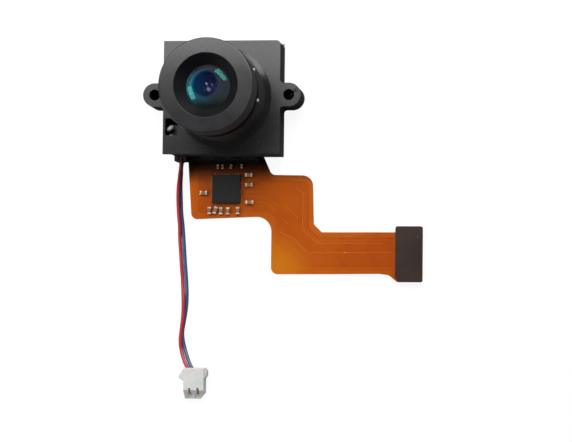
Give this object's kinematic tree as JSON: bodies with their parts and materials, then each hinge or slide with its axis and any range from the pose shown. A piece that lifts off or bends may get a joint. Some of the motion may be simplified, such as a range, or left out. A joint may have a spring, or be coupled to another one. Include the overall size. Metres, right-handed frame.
{
  "type": "camera module",
  "caption": "Board camera module: screw-in lens in a square eared holder with a sliding infrared filter, on a flexible circuit with a board connector, and a short plugged coil lead.",
  "frame": {"origin": "on the lens axis, on the back face of the plate behind the image sensor, which is the surface the module rests on", "axes": "+Z along the lens axis, out of the front glass; +Y away from the lead, towards the holder's upper edge; +X towards the flexible circuit's connector end"},
  "size_m": [0.0412, 0.0529, 0.0201],
  "materials": {
    "housing_plastic": "fine satin moulding",
    "slide_plastic": "satin moulding",
    "ir_filter_glass": "polished blue-green glass",
    "clear_glass": "polished clear glass",
    "magnet": "dull plated",
    "white_plastic": "satin moulding",
    "steel": "stamped",
    "bobbin_plastic": "satin moulding",
    "enamelled_copper": "glossy enamelled wire",
    "solder": "bright, slightly uneven",
    "anodised_black": "satin black anodised",
    "retainer_black": "satin black, turned",
    "coated_glass": "polished, with a coating",
    "inner_glass": "polished, with a blue coating",
    "clear_glue": "glossy drops",
    "sensor_ceramic": "matt",
    "flex_film": "smooth orange film over copper tracks",
    "stiffener_plate": "rolled",
    "brown_stiffener": "satin laminate",
    "connector_plastic": "moulded",
    "gold_contacts": "gold plated",
    "chip_epoxy": "fine matt moulding",
    "capacitor_ceramic": "fired ceramic",
    "black_sealant": "cured silicone",
    "red_sleeve": "smooth insulation",
    "blue_sleeve": "smooth insulation",
    "plug_nylon": "natural white nylon",
    "tinned_contacts": "tin plated"
  },
  "bodies": {
    "holder": {"front_housing": "housing_plastic", "rear_housing": "housing_plastic", "coil_bobbin": "bobbin_plastic", "coil_winding": "enamelled_copper", "coil_yoke": "steel", "coil_terminals": "solder", "lens_barrel": "anodised_black", "front_retainer": "retainer_black", "front_element": "coated_glass", "second_element": "inner_glass", "lens_spacer": "anodised_black", "aperture_ring": "anodised_black", "third_element": "inner_glass", "rear_element": "inner_glass", "rear_retainer": "anodised_black", "thread_glue": "clear_glue", "sensor_package": "sensor_ceramic", "sensor_glass": "clear_glass", "flex_circuit": "flex_film", "sensor_stiffener": "stiffener_plate", "chip_stiffener": "stiffener_plate", "connector_stiffener": "brown_stiffener", "board_connector": "connector_plastic", "connector_contacts": "gold_contacts", "control_chip": "chip_epoxy", "chip_joints": "solder", "capacitors": "capacitor_ceramic", "capacitor_ends": "solder", "board_seal": "black_sealant", "wire_seal": "black_sealant", "red_wire": "red_sleeve", "blue_wire": "blue_sleeve", "plug_housing": "plug_nylon", "plug_terminals": "tinned_contacts"},
    "filter_slide": {"filter_frame": "slide_plastic", "ir_filter": "ir_filter_glass", "clear_filter": "clear_glass"},
    "rotor": {"rotor_magnet": "magnet", "rotor_arm": "white_plastic", "rotor_pin": "steel"}
  },
  "joints": [
    {"name": "filter_travel", "type": "slide", "parent": "holder", "child": "filter_slide", "axis": [1, 0, 0], "range_m": [-0.0048, 0]},
    {"name": "rotor_turn", "type": "hinge", "parent": "holder", "child": "rotor", "pos_m": [0, -0.0063, 0.0035], "axis": [0, 0, 1], "range_deg": [0, 106.3]}
  ],
  "couplings": [
    {"joint": "rotor_turn", "follows": "filter_travel", "rad_per_m": -386.36}
  ]
}
